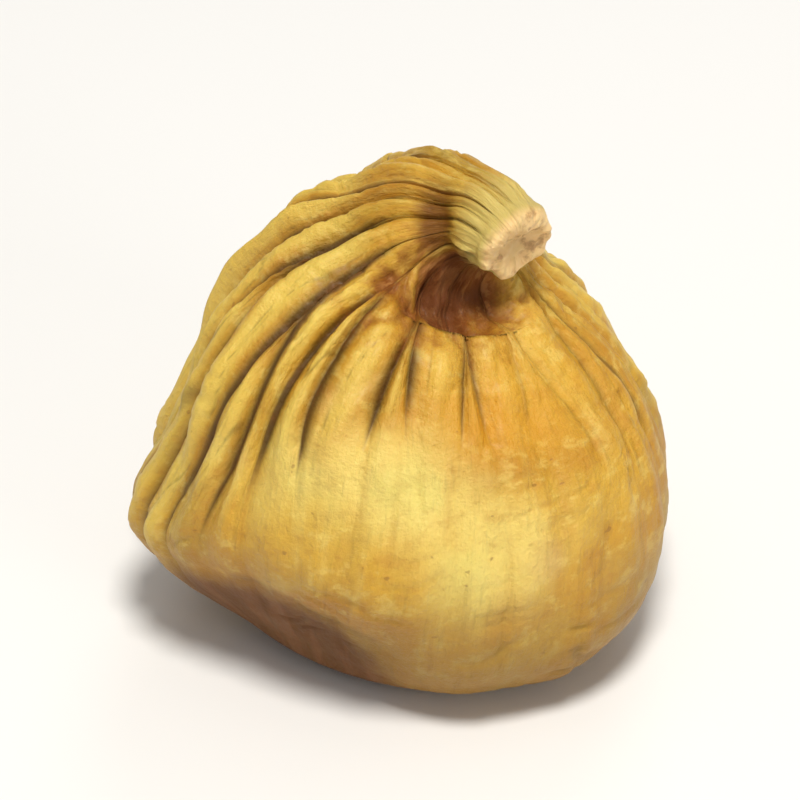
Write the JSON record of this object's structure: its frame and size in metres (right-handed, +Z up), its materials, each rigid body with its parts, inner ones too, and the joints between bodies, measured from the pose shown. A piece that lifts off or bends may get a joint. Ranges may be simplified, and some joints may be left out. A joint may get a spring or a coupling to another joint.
{
  "type": "dried fig",
  "caption": "Small dried fig standing on its eye: smooth round belly, pleats rising to a neck bent over to the front, and a short cut stalk.",
  "frame": {"origin": "on the ground, under the middle of the fig's box, close beside the eye that it stands on", "axes": "+Z up from the eye to the neck; -Y is the front, the side the neck bends over to; +X is to the right seen from the front"},
  "size_m": [0.0257, 0.0234, 0.0244],
  "materials": {
    "fig_skin": "dried fruit skin, straw yellow, leathery and wrinkled, with a low waxy sheen"
  },
  "bodies": {
    "root": {"fig": "fig_skin"}
  },
  "joints": []
}
